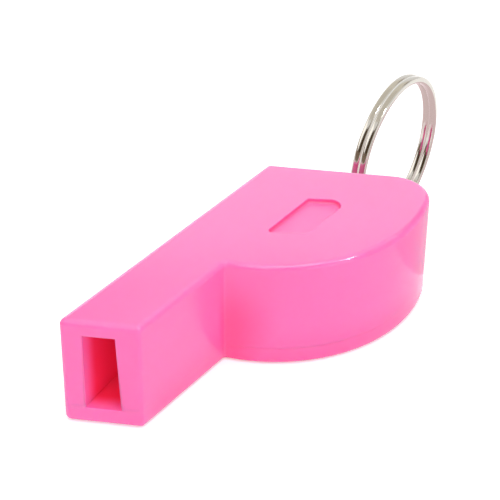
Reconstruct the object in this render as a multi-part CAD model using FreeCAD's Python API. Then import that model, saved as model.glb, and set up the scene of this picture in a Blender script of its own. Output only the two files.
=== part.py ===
import FreeCAD, Part
import math
import os
from FreeCAD import Vector

# A plastic pea whistle on a split key ring, in millimetres.
# It lies on one flat side, as it is photographed. The origin is on that side, under the chamber's axis.
# X runs along the straight side from the mouth to the back, Y from the belly to the straight side, Z up.

# Outline of the two flat sides
straight_length = 46.6       # long straight side, mouth corner to back corner
mouth_height = 9.6           # mouthpiece, straight side to lower side
body_height = 25.1           # straight side to the lowest point of the belly
belly_radius = 22.1          # curve of the drum's belly
junction_from_mouth = 22.6   # mouth corner to the inner corner under the mouthpiece
mouth_slant = 26.2           # degrees that the mouth face leans from square
back_slant = 26.2            # degrees that the back face leans from square
axis_from_mouth = 39.2       # mouth corner to the chamber's axis
axis_from_side = 12.1        # straight side to the chamber's axis

# Thickness, walls and rounded edges
thickness = 16.0             # across the two flat sides
cover_thickness = 2.6        # the side cover that the whistle lies on
flat_wall = 2.1              # the body's own flat wall
drum_wall = 2.2              # wall round the chamber
back_corner_round = 5.4      # corner between the back face and the belly
upright_round = 0.7          # other outer corners of the outline
junction_round = 0.5         # inner corner under the mouthpiece
rim_round = 0.85             # edges of the two flat sides
seam_bevel = 0.06            # makes the fine groove between body and cover

# Windway, sound window and lip
mouth_roof = 2.9             # wall between the windway and the straight side at the mouth
mouth_opening = 4.1          # height of the windway at the mouth
mouth_rim_round = 0.3        # edges of the opening in the mouth face
windway_exit = 1.3           # height of the windway where it meets the window
exit_roof = 1.5              # the same wall at the windway's exit
window_length = 5.0          # sound window, along the straight side
lip_edge = 0.5               # thickness of the edge that splits the air
lip_slope_length = 5.6       # length of the slope behind that edge

# Shallow recess in the upper flat side
recess_length = 10.25
recess_width = 5.0
recess_depth = 0.9
recess_slant = 30.0          # degrees that its ends lean from square
recess_before_axis = 7.2     # chamber's axis to its near corner, towards the mouth
recess_beside_axis = 2.1    # chamber's axis to its long wall, towards the straight side
recess_tight_corner = 0.5
recess_wide_corner = 1.6
recess_foot_round = 0.4      # where its walls meet its floor

# Lug for the ring
lug_along_back = 12.9       # back corner of the straight side to the lug, along the back face
lug_hole_radius = 2.1
lug_web = 1.7                # material round the hole
lug_thickness = 3.2
lug_hole_gap = 1.2           # back face to the near side of the hole
lug_root = 1.2               # how deep the lug's root reaches into the drum's wall
lug_rim_round = 0.7

# Split ring: two turns of flat-rolled wire that stand on the table
ring_mean_radius = 11.4
wire_depth = 1.05            # inner rim to outer rim
wire_width = 0.85            # along the ring's axis
wire_bevel = 0.24            # taken off the wire's four long edges
turn_gap = 0.45              # free gap between the two turns
ring_turned = 2.4            # degrees from the X axis to the ring's plane
ring_lean = 0.8              # degrees that its top leans towards the belly
ring_off_table = 0.04
crossing_angle = 36.0        # stretch of the ring where the wire steps to the second turn
crossing_at = -95.0          # middle of that stretch, from the ring's far side upwards
end_gap_angle = 2.0          # from the crossing to each end of the wire

# Pea
pea_radius = 4.2
pea_side_gap = 0.4           # pea to the nearest wall as it runs round
pea_floor_gap = 0.1

# Locating rib and pins of the cover
rib_width = 1.0
rib_height = 0.8
rib_clearance = 0.1
pin_radius = 0.75
pin_height = 1.8
pin_clearance = 0.08
pins_from_mouth = (9.0, 18.0)
pin_from_lower_side = 1.9

overcut = 3.0                # how far a cutting shape runs past the face that it cuts
probe = 0.01                 # tolerance when an edge is picked by its place

UP = Vector(0, 0, 1)
mouth_x = -axis_from_mouth
side_y = axis_from_side
belly_y = side_y - body_height
lower_y = side_y - mouth_height
chamber_top = thickness - flat_wall

mouth_corner = Vector(mouth_x, side_y, 0)
back_corner = Vector(mouth_x + straight_length, side_y, 0)
junction = Vector(mouth_x + junction_from_mouth, lower_y, 0)
mouth_foot = Vector(mouth_x + mouth_height * math.tan(math.radians(mouth_slant)), lower_y, 0)
down_back = Vector(math.sin(math.radians(back_slant)), -math.cos(math.radians(back_slant)), 0)
out_of_back = Vector(-down_back.y, down_back.x, 0)
belly_centre_y = belly_y + belly_radius
belly_reach = math.sqrt(belly_radius ** 2 - (junction.y - belly_centre_y) ** 2)
belly_centre = Vector(junction.x + belly_reach, belly_centre_y, 0)
window_x = belly_centre.x - (belly_radius - drum_wall)
lug_out = lug_hole_gap + lug_hole_radius
lug_centre = back_corner + down_back * lug_along_back + out_of_back * lug_out + UP * (thickness / 2)


def far_crossing(point, direction, centre, radius):
    """Where a line that starts inside a circle leaves it."""
    away = point - centre
    along = away.dot(direction)
    return point + direction * (math.sqrt(along ** 2 - away.dot(away) + radius ** 2) - along)


def polygon(points):
    return Part.makePolygon(list(points) + [points[0]])


def prism(wire, low, high):
    """An upright solid on a closed flat outline."""
    face = Part.Face(wire)
    face.translate(UP * low)
    return face.extrude(UP * (high - low))


def uprights(solid, point):
    """The upright edges of a solid that stand over a point of the plan."""
    found = []
    for edge in solid.Edges:
        ends = [vertex.Point for vertex in edge.Vertexes]
        over = all(math.hypot(end.x - point.x, end.y - point.y) < probe for end in ends)
        if over and len(ends) == 2:
            found.append(edge)
    return found


def level_edges(solid, height):
    """The edges of a solid that lie at one height."""
    return [edge for edge in solid.Edges
            if abs(edge.BoundBox.ZMin - height) < probe and abs(edge.BoundBox.ZMax - height) < probe]


def drum_corners(inset):
    """Where the belly's curve meets the straight side and the back face, all moved in by a wall."""
    radius = belly_radius - inset
    top_y = side_y - inset
    near_top = Vector(belly_centre.x - math.sqrt(radius ** 2 - (top_y - belly_centre.y) ** 2), top_y, 0)
    back_line = back_corner - out_of_back * inset
    back_top = back_line + down_back * ((back_line.y - top_y) / -down_back.y)
    back_foot = far_crossing(back_top, down_back, belly_centre, radius)
    return near_top, back_top, back_foot


def belly_arc(start, end, radius):
    middle = belly_centre + Vector(-math.sin(math.radians(40)), -math.cos(math.radians(40)), 0) * radius
    return Part.Arc(start, middle, end).toShape()


def body_outline(low, high):
    """The whistle's outline as a solid with its upright corners rounded."""
    back_foot = drum_corners(0)[2]
    wire = Part.Wire([
        Part.makeLine(mouth_corner, back_corner),
        Part.makeLine(back_corner, back_foot),
        belly_arc(back_foot, junction, belly_radius),
        Part.makeLine(junction, mouth_foot),
        Part.makeLine(mouth_foot, mouth_corner),
    ])
    solid = prism(wire, low, high)
    solid = solid.makeFillet(back_corner_round, uprights(solid, back_foot))
    solid = solid.makeFillet(junction_round, uprights(solid, junction))
    for corner in (mouth_corner, mouth_foot, back_corner):
        solid = solid.makeFillet(upright_round, uprights(solid, corner))
    return solid


def chamber(inset, low, high):
    """The drum's hollow, moved in from the outline by a wall."""
    near_top, back_top, back_foot = drum_corners(inset)
    wire = Part.Wire([
        Part.makeLine(near_top, back_top),
        Part.makeLine(back_top, back_foot),
        belly_arc(back_foot, near_top, belly_radius - inset),
    ])
    solid = prism(wire, low, high)
    return solid.makeFillet(back_corner_round - inset, uprights(solid, back_foot))


def windway(low, high):
    """The air channel, which narrows from the mouth to the sound window."""
    mouth_lean = math.tan(math.radians(mouth_slant))
    roof_start = Vector(mouth_x + mouth_roof * mouth_lean, side_y - mouth_roof, 0)
    floor_start = roof_start + Vector(mouth_opening * mouth_lean, -mouth_opening, 0)
    roof_end = Vector(window_x, side_y - exit_roof, 0)
    floor_end = roof_end - Vector(0, windway_exit, 0)
    roof_way = (roof_end - roof_start).normalize()
    floor_way = (floor_end - floor_start).normalize()
    run_in = Vector(drum_wall, 0, 0)
    return prism(polygon([
        roof_start - roof_way * overcut,
        roof_end,
        roof_end + run_in,
        floor_end + run_in,
        floor_end,
        floor_start - floor_way * overcut,
    ]), low, high)


def sound_window(low, high):
    """The slot in the straight side, with the slope of the lip behind it."""
    lip_x = window_x + window_length
    lip_y = side_y - drum_wall + lip_edge
    slope_end = Vector(lip_x + lip_slope_length, side_y, 0)
    rise = (slope_end - Vector(lip_x, lip_y, 0)).normalize()
    return prism(polygon([
        Vector(window_x, side_y - exit_roof - windway_exit, 0),
        Vector(lip_x, side_y - exit_roof - windway_exit, 0),
        Vector(lip_x, lip_y, 0),
        slope_end + rise * overcut,
        Vector(window_x, slope_end.y + rise.y * overcut, 0),
    ]), low, high)


def recess():
    """The shallow recess, a leaning rectangle with two tight and two wide corners."""
    lean = recess_width * math.tan(math.radians(recess_slant))
    near_top = Vector(-recess_before_axis, recess_beside_axis, 0)
    far_top = near_top + Vector(recess_length, 0, 0)
    far_foot = far_top + Vector(lean, -recess_width, 0)
    near_foot = near_top + Vector(lean, -recess_width, 0)
    floor = thickness - recess_depth
    solid = prism(polygon([near_top, far_top, far_foot, near_foot]), floor, thickness + overcut)
    for corner in (near_top, far_top):
        solid = solid.makeFillet(recess_tight_corner, uprights(solid, corner))
    for corner in (near_foot, far_foot):
        solid = solid.makeFillet(recess_wide_corner, uprights(solid, corner))
    return solid.makeFillet(recess_foot_round, level_edges(solid, floor))


def lug():
    """The flat tab behind the back face, with the ring's hole along Z."""
    low = lug_centre.z - lug_thickness / 2
    radius = lug_hole_radius + lug_web
    plan = Vector(lug_centre.x, lug_centre.y, 0)
    inner = plan - out_of_back * (lug_out + lug_root)
    side = down_back * radius
    wire = Part.Wire([
        Part.makeLine(inner + side, plan + side),
        Part.Arc(plan + side, plan + out_of_back * radius, plan - side).toShape(),
        Part.makeLine(plan - side, inner - side),
        Part.makeLine(inner - side, inner + side),
    ])
    tab = prism(wire, low, low + lug_thickness)
    rims = [edge for edge in level_edges(tab, low) + level_edges(tab, low + lug_thickness)
            if (edge.CenterOfMass - inner).dot(out_of_back) > probe]
    return tab.makeFillet(lug_rim_round, rims)


def lug_hole():
    start = Vector(lug_centre.x, lug_centre.y, lug_centre.z - thickness / 2)
    return Part.makeCylinder(lug_hole_radius, thickness, start, UP)


def mouth_rim(solid):
    """The edges of the windway's opening in the mouth face."""
    face_way = (mouth_foot - mouth_corner).normalize()
    out_of_mouth = Vector(face_way.y, -face_way.x, 0)
    margin = mouth_roof / 2
    found = []
    for edge in solid.Edges:
        place = edge.CenterOfMass - mouth_corner
        inside = margin < -place.y < mouth_height - margin and place.z < thickness - margin
        if inside and abs(place.dot(out_of_mouth)) < probe and place.z > cover_thickness + probe + seam_bevel:
            found.append(edge)
    return found


def pin_places():
    return [Vector(mouth_x + place, lower_y + pin_from_lower_side, cover_thickness)
            for place in pins_from_mouth]


def whistle_body():
    """The main moulding: one flat side, all upright walls, the windway and the lug."""
    solid = body_outline(cover_thickness, thickness)
    solid = solid.makeFillet(rim_round, level_edges(solid, thickness))
    solid = solid.makeChamfer(seam_bevel, level_edges(solid, cover_thickness))
    solid = solid.fuse(lug())
    solid = solid.cut(lug_hole())
    below = cover_thickness - overcut
    solid = solid.cut(chamber(drum_wall, below, chamber_top))
    solid = solid.cut(windway(below, chamber_top))
    solid = solid.makeFillet(mouth_rim_round, mouth_rim(solid))
    solid = solid.cut(sound_window(below, chamber_top))
    solid = solid.cut(recess())
    for place in pin_places():
        depth = pin_height + pin_clearance
        solid = solid.cut(Part.makeCylinder(pin_radius + pin_clearance, depth, place, UP))
    return solid


def side_cover():
    """The flat plate that closes the body, with a locating rib in the chamber and two pins."""
    solid = body_outline(0, cover_thickness)
    solid = solid.makeFillet(rim_round, level_edges(solid, 0))
    solid = solid.makeChamfer(seam_bevel, level_edges(solid, cover_thickness))
    top = cover_thickness + rib_height
    outer_inset = drum_wall + rib_clearance
    rib = chamber(outer_inset, cover_thickness, top)
    rib = rib.cut(chamber(outer_inset + rib_width, cover_thickness, top))
    air_way = Part.makeBox(window_length + overcut, body_height / 2, rib_height)
    air_way.translate(Vector(window_x - overcut / 2, side_y - body_height / 2, cover_thickness))
    solid = solid.fuse(rib.cut(air_way))
    for place in pin_places():
        solid = solid.fuse(Part.makeCylinder(pin_radius, pin_height, place, UP))
    return solid


def pea_orbit():
    """How far the pea's centre runs from the chamber's axis."""
    to_side = side_y - drum_wall
    to_back = back_corner.dot(out_of_back) - drum_wall
    to_belly = belly_radius - drum_wall - belly_centre.Length
    return min(to_side, to_back, to_belly) - pea_radius - pea_side_gap


def pea():
    """The loose ball, at rest on the cover, on the belly's side of the chamber."""
    centre = Vector(0, -pea_orbit(), cover_thickness + pea_floor_gap + pea_radius)
    return Part.makeSphere(pea_radius, centre)


ring_outward = Vector(math.cos(math.radians(ring_turned)), math.sin(math.radians(ring_turned)), 0)
ring_across = (Vector(-ring_outward.y, ring_outward.x, 0) * math.cos(math.radians(ring_lean))
               + UP * math.sin(math.radians(ring_lean)))
ring_up = ring_outward.cross(ring_across)
turn_pitch = wire_width + turn_gap
ring_height = ((ring_mean_radius + wire_depth / 2) * ring_up.z
               + (turn_pitch + wire_width) / 2 * ring_across.z + ring_off_table)
lug_below_centre = (ring_height - lug_centre.z) / ring_up.z
ring_reach = math.sqrt(ring_mean_radius ** 2 - lug_below_centre ** 2)
ring_centre = lug_centre + ring_outward * ring_reach + ring_up * lug_below_centre


def ring_point(angle, across):
    turned = math.radians(angle)
    flat = ring_outward * math.cos(turned) + ring_up * math.sin(turned)
    return ring_centre + flat * ring_mean_radius + ring_across * across


def ring_heading(angle):
    turned = math.radians(angle)
    return ring_up * math.cos(turned) - ring_outward * math.sin(turned)


def turn_arcs(start, end, across):
    """One turn in its own plane, as two arcs of nearly half a turn."""
    quarter = (end - start) / 4
    arcs = []
    for first in (start, start + 2 * quarter):
        arcs.append(Part.Arc(ring_point(first, across), ring_point(first + quarter, across),
                             ring_point(first + 2 * quarter, across)))
    return arcs


def biarc(start, start_way, end, end_way):
    """Two arcs that leave one point and reach another, each along a given heading."""
    span = end - start
    ways = start_way + end_way
    bend = 2 * (1 - start_way.dot(end_way))
    lead = (math.sqrt(span.dot(ways) ** 2 + bend * span.dot(span)) - span.dot(ways)) / bend
    first_knee = start + start_way * lead
    last_knee = end - end_way * lead
    middle = (first_knee + last_knee) / 2
    arcs = []
    for first, knee, last in ((start, first_knee, middle), (middle, last_knee, end)):
        chord_middle = (first + last) / 2
        half_turn_cosine = (last - first).Length / 2 / lead
        bulge = half_turn_cosine / (1 + half_turn_cosine)
        arcs.append(Part.Arc(first, chord_middle + (knee - chord_middle) * bulge, last))
    return arcs


def ring_path():
    """The wire's centre line: one turn, the crossing, and the second turn beside it."""
    side = turn_pitch / 2
    first_end = crossing_at + 360 - crossing_angle / 2
    second_start = first_end + crossing_angle
    first_start = crossing_at + crossing_angle / 2 + end_gap_angle
    second_end = crossing_at + 720 - crossing_angle / 2 - end_gap_angle
    arcs = turn_arcs(first_start, first_end, -side)
    arcs += biarc(ring_point(first_end, -side), ring_heading(first_end),
                  ring_point(second_start, side), ring_heading(second_start))
    arcs += turn_arcs(second_start, second_end, side)
    return Part.Wire([arc.toShape() for arc in arcs])


def wire_corners(path):
    """The corners of the wire's section, measured from the middle of its first end.

    The crossing turns the section by the pitch over the radius, so it starts with half of that
    the other way, and both turns lean alike.
    """
    start = path.OrderedVertexes[0].Point
    heading = path.OrderedEdges[0].tangentAt(path.OrderedEdges[0].FirstParameter)
    outward = ring_across.cross(heading)
    deep = wire_depth / 2
    wide = wire_width / 2
    quarter = [(deep, wide - wire_bevel), (deep - wire_bevel, wide)]
    half = quarter + [(-out, across) for out, across in reversed(quarter)]
    flat = half + [(-out, -across) for out, across in half]
    lean = FreeCAD.Rotation(heading, -math.degrees(turn_pitch / ring_mean_radius / 2))
    return start, [lean.multVec(outward * out + ring_across * across) for out, across in flat]


def least_gap(path, corners):
    """The smallest gap of the wire to itself, measured between points over half a turn apart."""
    step = 0.25
    points = path.discretize(Distance=step)
    apart = int(ring_mean_radius * math.pi / step)
    nearest = min((points[i] - points[j]).Length
                  for i in range(len(points)) for j in range(i + apart, len(points)))
    return nearest - 2 * max(corner.dot(ring_across) for corner in corners)


def split_ring():
    """The two-turn wire ring, one unbroken tube."""
    path = ring_path()
    start, corners = wire_corners(path)
    section = polygon([start + corner for corner in corners])
    print("split ring, least gap of the wire to itself: %.2f mm" % least_gap(path, corners))
    return path.makePipeShell([section], True, False)


def export(name, shape):
    solid = shape.removeSplitter()
    if len(solid.Solids) == 1:
        solid = solid.Solids[0]
    solid.exportStep("parts/%s.step" % name)
    box = solid.BoundBox
    print("%s: valid %s, solids %d, volume %.1f, X %.2f to %.2f, Y %.2f to %.2f, Z %.2f to %.2f" % (
        name, solid.isValid(), len(solid.Solids), solid.Volume,
        box.XMin, box.XMax, box.YMin, box.YMax, box.ZMin, box.ZMax))


os.makedirs("parts", exist_ok=True)
export("whistle_body", whistle_body())
export("side_cover", side_cover())
export("pea", pea())
export("split_ring", split_ring())
print("lug hole axis at %.3f, %.3f; pea orbit %.3f; ring centre %.3f, %.3f, %.3f" % (
    lug_centre.x, lug_centre.y, pea_orbit(), ring_centre.x, ring_centre.y, ring_centre.z))
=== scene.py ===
import math

import bmesh
import bpy
from mathutils import Matrix, Vector, noise


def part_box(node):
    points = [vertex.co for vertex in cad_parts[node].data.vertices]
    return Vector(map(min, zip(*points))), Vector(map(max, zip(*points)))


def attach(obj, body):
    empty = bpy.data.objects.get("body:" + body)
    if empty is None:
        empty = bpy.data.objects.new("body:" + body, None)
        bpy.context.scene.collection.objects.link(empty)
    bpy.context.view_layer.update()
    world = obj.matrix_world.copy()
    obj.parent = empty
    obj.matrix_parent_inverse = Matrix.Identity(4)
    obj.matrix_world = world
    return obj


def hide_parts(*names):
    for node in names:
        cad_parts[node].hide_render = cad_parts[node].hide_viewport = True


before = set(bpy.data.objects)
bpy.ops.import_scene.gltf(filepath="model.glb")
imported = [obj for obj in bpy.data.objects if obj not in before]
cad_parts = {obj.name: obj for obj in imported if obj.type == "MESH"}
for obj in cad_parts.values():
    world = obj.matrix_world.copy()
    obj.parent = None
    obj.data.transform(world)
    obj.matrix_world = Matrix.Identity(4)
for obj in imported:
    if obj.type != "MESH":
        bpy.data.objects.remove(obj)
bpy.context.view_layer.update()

# The camera
# It looks down on the belly's side from in front of the mouth, with the picture square.
# The photograph's outline fits this place, heading and lens, in metres, degrees and millimetres.
camera_place = Vector((-0.159103, -0.100028, 0.135967))
heading = math.radians(34.660)
dip = math.radians(33.912)
roll = math.radians(-0.584)
camera_data = bpy.data.cameras.new("photo_camera")
camera_data.sensor_width = 36.0
camera_data.lens = 117.518
camera_data.clip_start = 0.01
camera = bpy.data.objects.new("photo_camera", camera_data)
ahead = Vector((
    math.cos(heading) * math.cos(dip), math.sin(heading) * math.cos(dip), -math.sin(dip)))
level = ahead.cross(Vector((0, 0, 1))).normalized()
down = ahead.cross(level)
right = level * math.cos(roll) + down * math.sin(roll)
upward = level * math.sin(roll) - down * math.cos(roll)
facing = Matrix((right, upward, -ahead)).transposed()
camera.matrix_world = Matrix.Translation(camera_place) @ facing.to_4x4()
bpy.context.scene.collection.objects.link(camera)
bpy.context.scene.camera = camera
bpy.context.scene.view_settings.view_transform = "Standard"


# The studio
# A white floor under a white sky, soft lamps that light all but the ring, and coloured cards that
# only mirror-like reflections see. Lamps and cards stand 0.6 m off or more, outside every view,
# but for two small cards that lie on the floor: painted pink bounce light and painted pink shade.
class Socket:
    """A node's output in an expression: arithmetic on it adds the Math nodes it stands for."""

    def __init__(self, tree, output=None):
        self.tree = tree
        self.output = output

    def node(self, kind, settings=None, inputs=None, output=0):
        """Adds a node, its settings first and then the values or links of its sockets."""
        added = self.tree.nodes.new(kind)
        for name, value in (settings or {}).items():
            if name == "stops":
                ramp = added.color_ramp.elements
                while len(ramp) < len(value):
                    ramp.new(1.0)
                for stop, (place, colour) in zip(ramp, value):
                    stop.position = place
                    stop.color = (*colour, 1.0)
            else:
                setattr(added, name, value)
        for key, value in (inputs or {}).items():
            if isinstance(value, Socket):
                self.tree.links.new(value.output, added.inputs[key])
            else:
                added.inputs[key].default_value = value
        return Socket(self.tree, added.outputs[output] if added.outputs else None)

    def maths(self, operation, *operands):
        return self.node("ShaderNodeMath", {"operation": operation}, dict(enumerate(operands)))

    def __add__(self, other):
        return self.maths("ADD", self, other)

    __radd__ = __add__

    def __mul__(self, other):
        return self.maths("MULTIPLY", self, other)

    __rmul__ = __mul__

    def __sub__(self, other):
        return self.maths("SUBTRACT", self, other)

    def __rsub__(self, other):
        return self.maths("SUBTRACT", other, self)


def new_material(name):
    """A bare node material and the start of its tree."""
    material = bpy.data.materials.new(name)
    material.use_nodes = True
    material.node_tree.nodes.clear()
    return material, Socket(material.node_tree)


def stage_piece(name, corners, faces, material):
    """A piece of the studio, which isn't part of the whistle."""
    mesh = bpy.data.meshes.new(name)
    mesh.from_pydata(corners, [], faces)
    mesh.materials.append(material)
    piece = bpy.data.objects.new(name, mesh)
    bpy.context.scene.collection.objects.link(piece)
    return piece


def level_sheet(near, far, height):
    """The corners and the one face of a level oblong between two of its corners."""
    corners = [(near[0], near[1]), (far[0], near[1]), (far[0], far[1]), (near[0], far[1])]
    return [(*corner, height) for corner in corners], [(0, 1, 2, 3)]


def seen_as_it_is(start):
    """One for rays that show the surroundings: from the camera, in a mirror or through glass."""
    seen = start.node("ShaderNodeLightPath", None, None, "Is Camera Ray")
    for kind in ("Is Glossy Ray", "Is Transmission Ray"):
        seen = seen + start.node("ShaderNodeLightPath", None, None, kind)
    return seen


floor_reach = 1.2
floor_drop = 0.00005
floor_colour = (0.93, 0.93, 0.93, 1.0)
floor_lift = 0.3
floor_white, start = new_material("white_sweep")
diffuse = start.node("ShaderNodeBsdfDiffuse", None, {"Color": floor_colour})
lift = start.node("ShaderNodeEmission", None, {"Strength": floor_lift * seen_as_it_is(start)})
surface = start.node("ShaderNodeAddShader", None, {0: diffuse, 1: lift})
start.node("ShaderNodeOutputMaterial", None, {"Surface": surface})
floor = stage_piece("floor", *level_sheet(
    (-floor_reach, -floor_reach), (floor_reach, floor_reach), -floor_drop), floor_white)

sky_light = 0.66
world = bpy.data.worlds.new("studio")
world.use_nodes = True
world.node_tree.nodes.clear()
start = Socket(world.node_tree)
strength = sky_light + (1.0 - sky_light) * seen_as_it_is(start)
background = start.node(
    "ShaderNodeBackground", None, {"Color": (1.0, 1.0, 1.0, 1.0), "Strength": strength})
start.node("ShaderNodeOutputWorld", None, {"Surface": background})
bpy.context.scene.world = world


def card(name, corners, faces, colour, strength=1.0):
    """A panel of light or of darkness that only mirror-like reflections see."""
    glow, start = new_material(name)
    surface = start.node(
        "ShaderNodeEmission", None, {"Color": (*colour, 1.0), "Strength": strength})
    start.node("ShaderNodeOutputMaterial", None, {"Surface": surface})
    panel = stage_piece(name, corners, faces, glow)
    panel.visible_camera = False
    panel.visible_diffuse = False
    panel.visible_transmission = False
    panel.visible_shadow = False
    return panel


def standing_card(name, reach, headings, heights, colour, strength=1.0):
    """A curved card between two headings and two heights, in degrees as seen from the whistle."""
    degrees_between_bends = 8
    low, high = (reach * math.tan(math.radians(height)) for height in heights)
    bends = math.ceil(abs(headings[1] - headings[0]) / degrees_between_bends)
    corners = []
    for bend in range(bends + 1):
        way = math.radians(headings[0] + (headings[1] - headings[0]) * bend / bends)
        spot = (reach * math.cos(way), reach * math.sin(way))
        corners += [(*spot, low), (*spot, high)]
    faces = [(2 * bend, 2 * bend + 2, 2 * bend + 3, 2 * bend + 1) for bend in range(bends)]
    return card(name, corners, faces, colour, strength)


ceiling_height = 1.6
floor_card_height = 0.0002
warm_white = (1.0, 0.98, 0.95)
card("ceiling", *level_sheet((-0.7, -1.1), (1.1, 1.1), ceiling_height), (0.80, 0.76, 0.68))
standing_card("pale_wall", 1.35, (100, -45), (28, 58), (0.92, 0.88, 0.78))
standing_card("brown_corner", 1.3, (-10, -28), (18, 38), (0.38, 0.33, 0.28))
standing_card("white_board", 1.25, (152, 104), (18, 52), warm_white, strength=1.7)
standing_card("low_brown_card", 1.15, (236, 98), (5, 18), (0.28, 0.20, 0.15))
standing_card("dark_card", 1.25, (230, 155), (18, 52), (0.09, 0.06, 0.035))
standing_card("brown_card", 1.25, (260, 230), (18, 55), (0.42, 0.36, 0.30))
standing_card("window", 1.35, (-76, -97), (27, 60), warm_white, strength=1.4)
# painted reflection: pink light thrown on the floor by the whistle, then a darker patch of
# pink-tinted painted shade on the floor
card("painted_pink_bounce_by_the_drum", *level_sheet((0.017, -0.030), (0.060, 0.035), floor_card_height),
     (0.97, 0.78, 0.82))
card("painted_pink_shade_on_floor", *level_sheet((0.0, -0.24), (0.06, -0.045), floor_card_height),
     (0.62, 0.43, 0.39))
standing_card("long_lamp", 1.1, (-80, -86), (40, 53), (1.0, 1.0, 1.0), strength=55.0)

lit_by_lamps = bpy.data.collections.new("all_but_the_ring")
lit_by_lamps.objects.link(floor)


def soft_lamp(name, place, width, height, watts, aim=(0.0, 0.0, 0.0)):
    """A soft box that lights all but the ring, which mirrors the cards and the room alone."""
    data = bpy.data.lights.new(name, "AREA")
    data.shape = "RECTANGLE"
    data.size = width
    data.size_y = height
    data.energy = watts
    lamp = bpy.data.objects.new(name, data)
    lamp.location = place
    lamp.rotation_mode = "QUATERNION"
    lamp.rotation_quaternion = (Vector(aim) - Vector(place)).to_track_quat("-Z", "Y")
    lamp.light_linking.receiver_collection = lit_by_lamps
    bpy.context.scene.collection.objects.link(lamp)
    return lamp


soft_lamp("key", (-0.6, -0.25, 0.55), 0.35, 0.35, watts=1.15)
soft_lamp("front", (-0.3, -0.8, 0.25), 0.6, 0.4, watts=1.05)
soft_lamp("brow", (-0.1, -0.2, 0.75), 0.4, 0.4, watts=1.75)
soft_lamp("back", (0.78, 0.53, 0.38), 0.9, 0.5, watts=2.1)
sheen = soft_lamp("sheen", (0.0, 0.0, 0.6), 1.2, 1.0, watts=5.6, aim=(0.0, 0.001, 0.0))
sheen.visible_diffuse = False


# The whistle's body
# The main moulding with its slanted mouthpiece, round drum and lug, in glossy pink plastic.
# It comes out of a steel mould, so each sharp edge of the CAD solid is broken by a hair's breadth.
# Each pair of plain numbers below is where a tint starts and where it is full, in metres; the tints
# are painted shade, painted light and painted glow.
end_slant = math.radians(26.2)
mouth_corner = (-0.0392, 0.0121)
seam_height = 0.0026


def rise(value, none_at, full_at, most=1.0):
    """Nothing at one end of a stretch and the most at its other end, with soft ends."""
    return value.node("ShaderNodeMapRange", {"interpolation_type": "SMOOTHSTEP"},
                      {"Value": value, 1: none_at, 2: full_at, 4: most})


def level_distance(place, centre):
    """How far a place is from an upright line."""
    level = place.node(
        "ShaderNodeVectorMath", {"operation": "MULTIPLY"}, {0: place, 1: (1.0, 1.0, 0.0)})
    return place.node(
        "ShaderNodeVectorMath", {"operation": "DISTANCE"}, {0: level, 1: centre}, "Value")


def split(place):
    """A place's way along the whistle, its way towards the straight side, and its height."""
    spot = place.node("ShaderNodeSeparateXYZ", None, {"Vector": place})
    return (Socket(place.tree, output) for output in spot.output.node.outputs)


def from_mouth(east, north):
    """How far a place is behind the slanted mouth face."""
    along, across = east - mouth_corner[0], north - mouth_corner[1]
    return along * math.cos(end_slant) + across * math.sin(end_slant)


windway_wall = (0.0033, 0.0045)
windway_end = (-0.011, -0.012)
belly_centre = (0.00449, 0.0091, 0.0)
chamber_wall = (0.0214, 0.0202)
chamber_back = (0.0410, 0.0398)
back_round = (0.01052, -0.00647, 0.0)
back_round_wall = (0.0042, 0.0050)
back_round_way = (0.9317, -0.3633)
back_round_starts = (0.01495, 0.01555)
inside_cover = (0.0022, 0.0026)
inside_top = (0.0143, 0.0139)
inside_straight_side = (0.0121, 0.0106)


def painted_light_inside(place, none_at, full_at):
    """One in the windway and the chamber: painted light for what has come through or off the
    plastic.
    """
    east, north, high = split(place)
    behind_mouth = from_mouth(east, north)
    windway = rise(north, *windway_wall) * rise(east, *windway_end)
    chamber = rise(level_distance(place, belly_centre), *chamber_wall)
    chamber = chamber * rise(behind_mouth, *chamber_back)
    beyond_round = rise(level_distance(place, back_round), *back_round_wall)
    out_by_round = back_round_way[0] * east + back_round_way[1] * north
    beyond_round = beyond_round * rise(out_by_round, *back_round_starts)
    chamber = chamber * (1.0 - beyond_round)
    between_sides = rise(high, *inside_cover) * rise(high, *inside_top)
    between_sides = between_sides * rise(north, *inside_straight_side)
    inside = place.maths("MAXIMUM", windway, chamber) * between_sides
    return inside * rise(behind_mouth, none_at, full_at)


inner_corner = (-0.0166, 0.0025, 0.0)
corner_reach = (0.0085, 0.0005)
corner_heights = (0.0158, 0.0060)
corner_starts = (-0.0185, -0.0160)
recess_middle = (-0.0013, -0.0004, 0.0)
recess_reach = (0.0080, 0.0078)
recess_wall_top = (0.01598, 0.0158)
recess_wall_foot = (0.01533, 0.01538)
recess_shade = 0.75
foot_heights = (0.007, 0.0)
foot_behind_mouth = (0.0, 0.004)
foot_shade = 0.45


def painted_shade_share(place):
    """Painted shade, rising where less light gets: on the recess's walls, by the inner corner, near
    the table.
    """
    east, north, high = split(place)
    corner = rise(level_distance(place, inner_corner), *corner_reach) * rise(high, *corner_heights)
    corner = corner * rise(east, *corner_starts)
    recess = rise(high, *recess_wall_top) * rise(high, *recess_wall_foot, recess_shade)
    recess = recess * rise(level_distance(place, recess_middle), *recess_reach)
    foot = rise(high, *foot_heights, foot_shade)
    foot = foot * rise(from_mouth(east, north), *foot_behind_mouth)
    return place.maths("MAXIMUM", place.maths("MAXIMUM", corner, foot), recess)


plastic_pink = (0.99, 0.160, 0.468)
plastic_clouded = (0.98, 0.140, 0.43)
# painted shade: a darker, redder pink laid on where less light gets
plastic_shaded = (0.99, 0.075, 0.30)
# painted light: the deep red that light takes inside after passing through and off the pink walls
painted_red_inside = (0.99, 0.032, 0.12)
# painted glow: a faint red light given off inside the windway and the chamber, where no lamp is
painted_glow_inside = (0.045, 0.002, 0.010)
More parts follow.
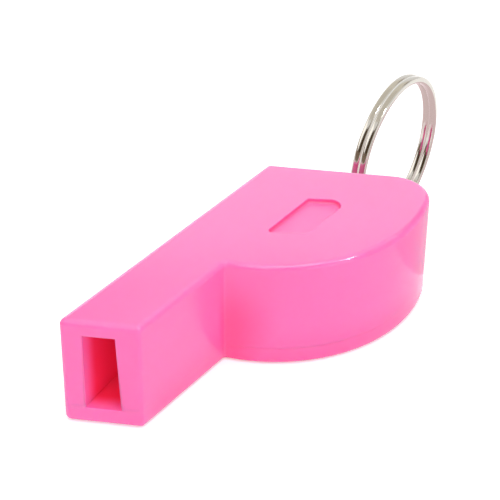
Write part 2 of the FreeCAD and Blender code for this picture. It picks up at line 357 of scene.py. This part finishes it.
# painted glow along the shut line between the moulding and the cover
painted_glow_by_seam = (0.05, 0.002, 0.004)
no_glow = (0.0, 0.0, 0.0)
cloud_share = 0.35
painted_red_behind_mouth = (0.0003, 0.0029)
painted_glow_behind_mouth = (0.0, 0.0012)
painted_glow_from_seam = (0.0004, 0.0)
inside_recess = (0.0160, 0.0159)
polish = 0.10
grain_roughness = 0.05
recess_roughness = 0.3
grain_bump = 0.15


def blend(share, one, other):
    """One colour turning into another as the share grows."""
    one, other = (tint if isinstance(tint, Socket) else (*tint, 1.0) for tint in (one, other))
    return share.node("ShaderNodeMix", {"data_type": "RGBA"}, {0: share, 6: one, 7: other}, 2)


def pink_plastic(name):
    """Glossy, slightly clouded plastic that passes some light, with painted shade, red light and
    glow.
    """
    material, start = new_material(name)
    place = start.node("ShaderNodeTexCoord", None, None, "Object")
    cloud = start.node("ShaderNodeTexNoise", None, {"Vector": place, "Scale": 70.0, "Detail": 3.0})
    cloud = start.node("ShaderNodeMapRange", None, {"Value": cloud, 1: 0.35, 2: 0.65})
    colour = blend(cloud * cloud_share, plastic_pink, plastic_clouded)
    # painted shade in the base colour: recess walls, inner corner, and darker towards the table
    colour = blend(painted_shade_share(place), colour, plastic_shaded)
    # painted light: redder deep in the windway and the chamber
    colour = blend(painted_light_inside(place, *painted_red_behind_mouth), colour, painted_red_inside)
    # painted glow inside the windway and the chamber
    glow = blend(painted_light_inside(place, *painted_glow_behind_mouth), no_glow, painted_glow_inside)
    east, north, high = split(place)
    # painted glow along the shut line
    by_seam = rise(place.maths("ABSOLUTE", high - seam_height), *painted_glow_from_seam)
    glow = blend(by_seam, glow, painted_glow_by_seam)
    in_recess = rise(high, *inside_recess)
    in_recess = in_recess * rise(level_distance(place, recess_middle), *recess_reach)
    grain = start.node(
        "ShaderNodeTexNoise", None, {"Vector": place, "Scale": 1400.0, "Detail": 4.0})
    skin = start.node("ShaderNodeTexNoise", None, {"Vector": place, "Scale": 160.0, "Detail": 2.0})
    bump = start.node("ShaderNodeBump", None, {
        "Strength": 0.25, "Distance": 0.00004, "Height": skin + grain_bump * grain})
    surface = start.node("ShaderNodeBsdfPrincipled", {"subsurface_method": "RANDOM_WALK"}, {
        "Base Color": colour,
        "Roughness": polish + grain_roughness * grain + recess_roughness * in_recess,
        "Subsurface Weight": 0.6,
        "Subsurface Radius": (1.0, 0.18, 0.3),
        "Subsurface Scale": 0.0022,
        # the painted glows, inside and along the shut line
        "Emission Color": glow,
        "Emission Strength": 1.0,
        "Normal": bump,
    })
    start.node("ShaderNodeOutputMaterial", None, {"Surface": surface})
    return material


opening_box = ((-0.05, 0.0045, 0.0027), (0.0, 0.0099, 0.0146))
opening_edge_reach = 0.0006
opening_middle = 0.0070
opening_top = 0.0139
opening_draft = 0.00042
recess_box = ((-0.0075, -0.0032, 0.0150), (0.0050, 0.0024, 0.0170))
recess_foot_box = ((-0.0080, -0.0033, 0.0150), (0.0053, 0.0027, 0.01585))
recess_corner = Vector((-0.0072, 0.0024, 0.0160))
recess_moved = Vector((-0.0003, 0.00016, 0.0))
recess_stretched = Vector((1.016, 0.985, 0.75))
seam_bevel = 0.00006
seam_depth_kept = 0.08
edge_break = 0.00008
sharp_from = math.radians(34.5)
flat_within = math.radians(0.3)
same_height = 0.000005
same_spot = 0.000001


def within(spot, box):
    """Whether a corner of the mesh is inside an upright box."""
    return all(low < way < high for low, way, high in zip(box[0], spot, box[1]))


def by_opening(spot):
    """Whether a corner of the mesh is on the rounded edges of the opening in the mouth face."""
    return within(spot, opening_box) and from_mouth(spot.x, spot.y) < opening_edge_reach


def moulded_copy(node, name, material):
    """The CAD solid as a closed mesh whose sharp edges are broken and whose curves are smooth."""
    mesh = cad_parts[node].data.copy()
    mesh.materials.clear()
    mesh.materials.append(material)
    if "custom_normal" in mesh.attributes:
        mesh.attributes.remove(mesh.attributes["custom_normal"])
    shape = bmesh.new()
    shape.from_mesh(mesh)
    bmesh.ops.remove_doubles(shape, verts=shape.verts, dist=same_spot)
    for vertex in shape.verts:
        spot = vertex.co
        if within(spot, recess_box):
            from_corner = (spot - recess_corner) * recess_stretched
            spot.xyz = recess_corner + recess_moved + from_corner
        if by_opening(spot) and spot.y < opening_middle:
            drawn_in = opening_draft * (spot.z - seam_height) / (opening_top - seam_height)
            spot += drawn_in * Vector((-math.tan(end_slant), 1.0, 0.0))
        beside = [edge.other_vert(vertex).co for edge in vertex.link_edges]
        outer = [other for other in beside
                 if abs(abs(other.z - seam_height) - seam_bevel) < same_height]
        if abs(spot.z - seam_height) < same_height and outer:
            spot.xy = outer[0].xy.lerp(spot.xy, seam_depth_kept)
    bmesh.ops.dissolve_limit(shape, angle_limit=flat_within, verts=shape.verts, edges=shape.edges)
    broken = shape.edges.layers.float.new("bevel_weight_edge")
    for edge in shape.edges:
        ends = [vertex.co for vertex in edge.verts]
        by_seam = all(abs(end.z - seam_height) < seam_bevel * 1.1 for end in ends)
        rounded = all(by_opening(end) or within(end, recess_foot_box) for end in ends)
        sharp = edge.calc_face_angle(0.0) > sharp_from
        edge[broken] = float(sharp and not by_seam and not rounded)
        edge.smooth = not by_seam
    for face in shape.faces:
        face.smooth = True
    shape.to_mesh(mesh)
    shape.free()
    piece = bpy.data.objects.new(name, mesh)
    bpy.context.scene.collection.objects.link(piece)
    bevel = piece.modifiers.new("broken_edges", "BEVEL")
    bevel.width = edge_break
    bevel.segments = 2
    bevel.limit_method = "WEIGHT"
    bevel.use_clamp_overlap = False
    weigh = piece.modifiers.new("flat_faces_stay_flat", "WEIGHTED_NORMAL")
    weigh.keep_sharp = True
    return piece


moulded_pink = pink_plastic("body_pink_plastic")
body = moulded_copy("whistle_body", "body_moulding", moulded_pink)
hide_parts("whistle_body")
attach(body, "whistle")
lit_by_lamps.objects.link(body)


# The side cover
# The flat plate that closes the moulding, from the same plastic, held by two pins and a rib.
# The shut line between the two runs just above the table.
cover = moulded_copy("side_cover", "cover_plate", moulded_pink)
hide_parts("side_cover")
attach(cover, "whistle")
lit_by_lamps.objects.link(cover)


# The pea
# A ball of cork that rolls in the drum and chops the air jet into the trill.
# Its skin is ground round and full of small open pores.
pea_low, pea_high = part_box("pea")
pea_centre = (pea_low + pea_high) / 2
skin_play = 0.00003
pea_radius = min(pea_high - pea_low) / 2 - skin_play
pore_spacing = 0.0011
pore_depth = 0.00022
pore_reach = 0.42
pore_curve = 1.5
swell_depth = 0.00005
swell_rate = 0.35
ball = bmesh.new()
bmesh.ops.create_icosphere(ball, subdivisions=6, radius=1.0)
for vertex in ball.verts:
    way = vertex.co.normalized()
    spot = way * pea_radius / pore_spacing
    pore = max(0.0, pore_reach - noise.voronoi(spot)[0][0]) / pore_reach
    swell = 1 + noise.noise(spot * swell_rate)
    sunk = pore_depth * pore ** pore_curve + swell_depth * swell
    vertex.co = pea_centre + way * (pea_radius - sunk)
pea_mesh = bpy.data.meshes.new("cork_pea")
ball.to_mesh(pea_mesh)
ball.free()
pea_mesh.shade_smooth()
cork, start = new_material("ground_cork")
place = start.node("ShaderNodeTexCoord", None, None, "Object")
cells = start.node("ShaderNodeTexNoise", None, {"Vector": place, "Scale": 1300.0, "Detail": 5.0})
flecks = start.node("ShaderNodeTexVoronoi", None, {"Vector": place, "Scale": 900.0})
fleck_share = 0.25
cork_darkened = 0.08
cork_tones = [(0.32, (0.20, 0.10, 0.045)), (0.46, (0.48, 0.29, 0.14)), (0.70, (0.66, 0.44, 0.24))]
tone = start.node("ShaderNodeValToRGB", {"stops": cork_tones},
                  {"Fac": cells + fleck_share * flecks - cork_darkened})
bump = start.node("ShaderNodeBump", None, {"Strength": 0.6, "Distance": 0.00008, "Height": cells})
cork_roughness = 0.75
cell_roughness = 0.2
surface = start.node("ShaderNodeBsdfPrincipled", None, {
    "Base Color": tone, "Roughness": cork_roughness + cell_roughness * cells, "Normal": bump})
start.node("ShaderNodeOutputMaterial", None, {"Surface": surface})
pea_mesh.materials.append(cork)
pea = bpy.data.objects.new("cork_pea", pea_mesh)
bpy.context.scene.collection.objects.link(pea)
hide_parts("pea")
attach(pea, "pea")
lit_by_lamps.objects.link(pea)


# The split ring
# Two close turns of flat-rolled spring wire, nickel plated, with a step where the wire crosses
# from one turn to the other beside its two cut ends. It stands on the table in the lug's hole.
ring_turned = math.radians(2.4)
ring_lean = math.radians(0.8)
ring_outside = 0.0119
wire_depth = 0.00105
wire_width = 0.00107
wire_rounding = 0.00037
groove = 0.00001
crossing = math.radians(36)
crossing_at = math.radians(-95)
end_gap = math.radians(2)
end_taper = 0.16
ring_low, ring_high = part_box("split_ring")
ring_centre = (ring_low + ring_high) / 2


def ring_tree(material):
    """Geometry nodes for a two-turn ring about local Z, turned upright at the end."""
    tree = bpy.data.node_groups.new("split_ring_turns", "GeometryNodeTree")
    for name in ("Turn radius", "Pitch", "Wire depth", "Wire width", "Wire rounding"):
        tree.interface.new_socket(name, in_out="INPUT", socket_type="NodeSocketFloat")
    for name in ("Points", "Section points"):
        tree.interface.new_socket(name, in_out="INPUT", socket_type="NodeSocketInt")
    tree.interface.new_socket("Geometry", in_out="OUTPUT", socket_type="NodeSocketGeometry")
    start = Socket(tree)
    given = tree.nodes.new("NodeGroupInput")
    size = {output.name: Socket(tree, output) for output in given.outputs if output.name}
    line = start.node("GeometryNodeCurvePrimitiveLine")
    line = start.node(
        "GeometryNodeResampleCurve", {"mode": "COUNT"}, {"Curve": line, "Count": size["Points"]})
    along = start.node("GeometryNodeSplineParameter", None, None, "Factor")
    first = crossing_at + crossing / 2 + end_gap
    last = crossing_at + 4 * math.pi - crossing / 2 - end_gap
    angle = first + (last - first) * along
    middle = crossing_at + 2 * math.pi
    step = start.node("ShaderNodeMapRange", {"interpolation_type": "SMOOTHSTEP"}, {
        "Value": angle, 1: middle - crossing / 2, 2: middle + crossing / 2, 3: 0.5, 4: -0.5})
    spot = start.node("ShaderNodeCombineXYZ", None, {
        "X": start.maths("COSINE", angle) * size["Turn radius"],
        "Y": start.maths("SINE", angle) * size["Turn radius"],
        "Z": step * size["Pitch"]})
    coil = start.node("GeometryNodeSetPosition", None, {"Geometry": line, "Position": spot})
    coil = start.node("GeometryNodeSetCurveNormal", {"mode": "Z_UP"}, {"Curve": coil})
    section = start.node("GeometryNodeCurvePrimitiveQuadrilateral", None,
                         {"Width": size["Wire depth"], "Height": size["Wire width"]})
    section = start.node("GeometryNodeFilletCurve", {"mode": "POLY"}, {
        "Curve": section, "Radius": size["Wire rounding"], "Count": size["Section points"]})
    tip = start.node("GeometryNodeCurveEndpointSelection")
    tube = start.node("GeometryNodeCurveToMesh", None, {
        "Curve": coil, "Profile Curve": section, "Scale": 1.0 - end_taper * tip, "Fill Caps": True})
    tube = start.node("GeometryNodeTransform", None, {
        "Geometry": tube, "Translation": ring_centre,
        "Rotation": (math.pi / 2 + ring_lean, 0.0, ring_turned)})
    tube = start.node("GeometryNodeRealizeInstances", None, {"Geometry": tube})
    tube = start.node("GeometryNodeSetMaterial", None, {"Geometry": tube, "Material": material})
    end = tree.nodes.new("NodeGroupOutput")
    tree.links.new(tube.output, end.inputs[0])
    return tree


nickel_polish = 0.07
haze_roughness = 0.1
nickel, start = new_material("bright_nickel")
place = start.node("ShaderNodeTexCoord", None, None, "Object")
haze = start.node("ShaderNodeTexNoise", None, {"Vector": place, "Scale": 700.0, "Detail": 4.0})
bump = start.node("ShaderNodeBump", None, {"Strength": 0.15, "Distance": 0.00002, "Height": haze})
surface = start.node("ShaderNodeBsdfPrincipled", None, {
    "Base Color": (0.60, 0.57, 0.52, 1.0),
    "Metallic": 1.0,
    "Roughness": nickel_polish + haze_roughness * haze,
    "Normal": bump,
})
start.node("ShaderNodeOutputMaterial", None, {"Surface": surface})

seed = bpy.data.objects.new("ring_seed", bpy.data.meshes.new("ring_seed"))
bpy.context.scene.collection.objects.link(seed)
maker = seed.modifiers.new("turns", "NODES")
maker.node_group = ring_tree(nickel)
sizes = {
    "Turn radius": ring_outside - wire_depth / 2,
    "Pitch": wire_width + groove,
    "Wire depth": wire_depth,
    "Wire width": wire_width,
    "Wire rounding": wire_rounding,
    "Points": 361,
    "Section points": 5,
}
for item in maker.node_group.interface.items_tree:
    if item.in_out == "INPUT":
        maker[item.identifier] = sizes[item.name]
bpy.context.view_layer.update()
shown = seed.evaluated_get(bpy.context.evaluated_depsgraph_get())
ring_mesh = bpy.data.meshes.new_from_object(shown)
bpy.data.objects.remove(seed)
ring_mesh.name = "nickel_split_ring"
ring = bpy.data.objects.new("nickel_split_ring", ring_mesh)
bpy.context.scene.collection.objects.link(ring)
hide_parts("split_ring")
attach(ring, "ring")
# The photograph shows no dark image of the ring on the whistle and no dark line between its turns.
ring.visible_glossy = False
